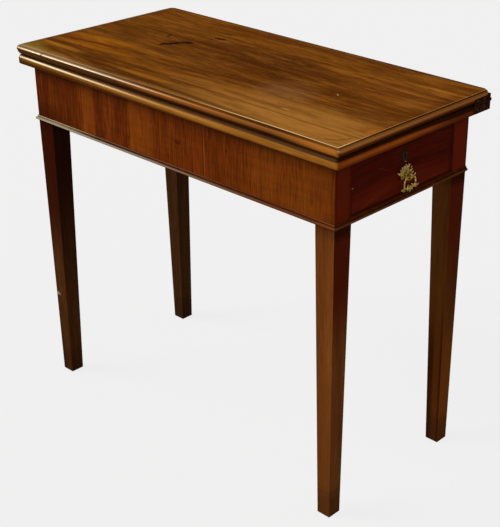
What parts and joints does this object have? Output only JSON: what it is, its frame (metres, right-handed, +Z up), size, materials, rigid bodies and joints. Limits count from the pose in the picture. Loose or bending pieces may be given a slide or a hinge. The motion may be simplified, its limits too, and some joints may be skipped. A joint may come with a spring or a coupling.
{
  "type": "tea table with drawer",
  "caption": "Fold-over mahogany tea table, closed: moulded double top on edge hinges, square tapered legs, swinging gate leg behind, and a locking end drawer with a brass drop handle.",
  "frame": {"origin": "middle of the footprint on the floor, halfway along and across the closed table", "axes": "+X towards the end with the drawer, +Y towards the back with the gate leg and the hinges, +Z up"},
  "size_m": [0.84, 0.4144, 0.73],
  "materials": {
    "polished_mahogany": "french polished mahogany, warm golden brown, worn at the edges",
    "dark_mahogany": "old polished mahogany, dark red brown",
    "mahogany_veneer": "polished mahogany veneer with a few darker seams",
    "pine": "bare planed softwood, darkened with age",
    "oak": "bare planed oak, darkened with age",
    "gilded_brass": "bright lacquered brass",
    "aged_brass": "dark tarnished brass",
    "iron": "dark iron"
  },
  "bodies": {
    "frame": {"back_drawer_runner": "oak", "back_drawer_stop": "oak", "back_glue_block": "pine", "drawer_guide": "oak", "drawer_rail": "dark_mahogany", "fixed_knuckle_rail": "oak", "front_bead": "dark_mahogany", "front_drawer_runner": "oak", "front_drawer_stop": "oak", "front_left_glue_block": "pine", "front_left_leg": "dark_mahogany", "front_rail": "pine", "front_right_glue_block": "pine", "front_right_leg": "dark_mahogany", "front_veneer": "mahogany_veneer", "gate_hinge_pin": "iron", "inner_back_rail": "pine", "left_end_bead": "dark_mahogany", "left_end_rail": "dark_mahogany", "left_glue_block": "pine", "left_hinge_lower_plate": "aged_brass", "left_hinge_lower_screw_1": "aged_brass", "left_hinge_lower_screw_2": "aged_brass", "left_hinge_pin": "aged_brass", "lower_leaf": "polished_mahogany", "rear_right_leg": "dark_mahogany", "right_end_bead": "dark_mahogany", "right_hinge_lower_plate": "aged_brass", "right_hinge_lower_screw_1": "aged_brass", "right_hinge_lower_screw_2": "aged_brass", "right_hinge_pin": "aged_brass", "top_screw_back": "iron", "top_screw_front_left": "iron", "top_screw_front_right": "iron", "top_screw_left_end": "iron"},
    "folding_leaf": {"left_hinge_upper_plate": "aged_brass", "left_hinge_upper_screw_1": "aged_brass", "left_hinge_upper_screw_2": "aged_brass", "right_hinge_upper_plate": "aged_brass", "right_hinge_upper_screw_1": "aged_brass", "right_hinge_upper_screw_2": "aged_brass", "upper_leaf": "polished_mahogany"},
    "gate": {"gate_leg": "dark_mahogany", "gate_leg_bead": "dark_mahogany", "gate_rail": "oak"},
    "drawer": {"back_drawer_side": "oak", "back_lock_screw": "iron", "drawer_back": "oak", "drawer_bottom": "oak", "drawer_front": "dark_mahogany", "front_drawer_side": "oak", "front_lock_screw": "iron", "handle_nut": "aged_brass", "handle_plate": "gilded_brass", "handle_post": "gilded_brass", "keyhole_escutcheon": "aged_brass", "lock_case": "iron"},
    "handle_drop": {"handle_drop": "gilded_brass"},
    "lock_bolt": {"lock_bolt": "iron"}
  },
  "joints": [
    {"name": "leaf_fold", "type": "hinge", "parent": "frame", "child": "folding_leaf", "pos_m": [0, 0.204, 0.71225], "axis": [-1, 0, 0], "range_deg": [0, 180]},
    {"name": "gate_swing", "type": "hinge", "parent": "frame", "child": "gate", "pos_m": [-0.04, 0.1678, 0.6358], "axis": [0, 0, -1], "range_deg": [0, 90]},
    {"name": "drawer_slide", "type": "slide", "parent": "frame", "child": "drawer", "axis": [1, 0, 0], "range_m": [0, 0.4]},
    {"name": "drop_swing", "type": "hinge", "parent": "drawer", "child": "handle_drop", "pos_m": [0.4037, -0.0022, 0.6227], "axis": [0, -1, 0], "range_deg": [-10, 160]},
    {"name": "bolt_throw", "type": "slide", "parent": "drawer", "child": "lock_bolt", "axis": [0, 0, 1], "range_m": [0, 0.007]}
  ]
}
